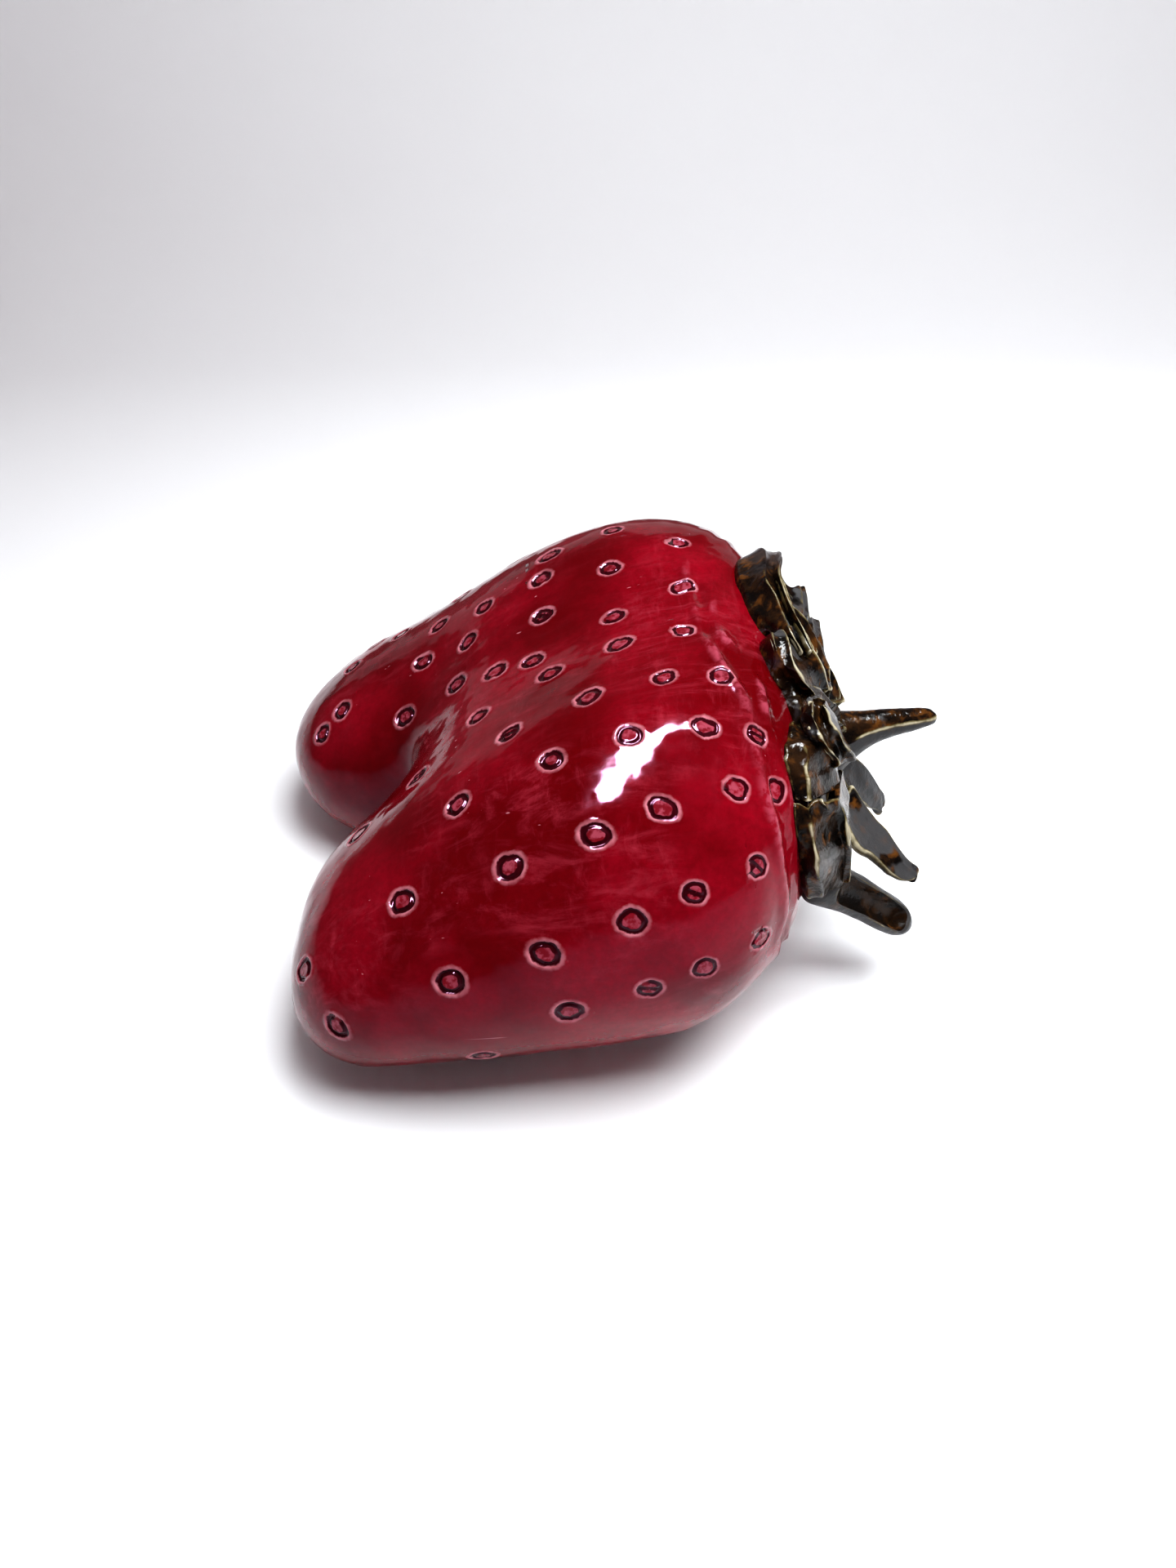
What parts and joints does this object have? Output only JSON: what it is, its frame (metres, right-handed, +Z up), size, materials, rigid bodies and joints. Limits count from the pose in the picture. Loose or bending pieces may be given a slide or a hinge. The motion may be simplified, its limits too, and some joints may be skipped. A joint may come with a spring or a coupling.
{
  "type": "ceramic strawberry ornament",
  "caption": "Glazed ceramic strawberry ornament with a forked tip, lying on its flat underside, with incised seeds, a dark sepal rosette and a stem.",
  "frame": {"origin": "a point on the flat underside, at the height of the surface that the ornament lies on", "axes": "+Z up, +X from the two lobe tips to the stem, +Y across the lobes"},
  "size_m": [0.2317, 0.2122, 0.1245],
  "materials": {
    "red_glaze": "glossy deep red glaze, pooling dark in the incised seeds",
    "brown_glaze": "glossy brown-black glaze, breaking to amber and olive on the edges"
  },
  "bodies": {
    "root": {"fruit_body": "red_glaze", "calyx_pad": "brown_glaze", "sepal_top_edge": "brown_glaze", "sepal_top_back": "brown_glaze", "sepal_top_front": "brown_glaze", "sepal_front_upper": "brown_glaze", "sepal_front_lower": "brown_glaze", "sepal_under_front": "brown_glaze", "sepal_under_back": "brown_glaze", "sepal_back_lower": "brown_glaze", "sepal_back_upper": "brown_glaze", "sepal_second_middle": "brown_glaze", "sepal_second_front": "brown_glaze", "sepal_second_top": "brown_glaze", "sepal_second_back": "brown_glaze", "sepal_third_top": "brown_glaze", "sepal_splayed_rolled": "brown_glaze", "sepal_splayed_long": "brown_glaze", "sepal_splayed_small": "brown_glaze", "stem": "brown_glaze"}
  },
  "joints": []
}
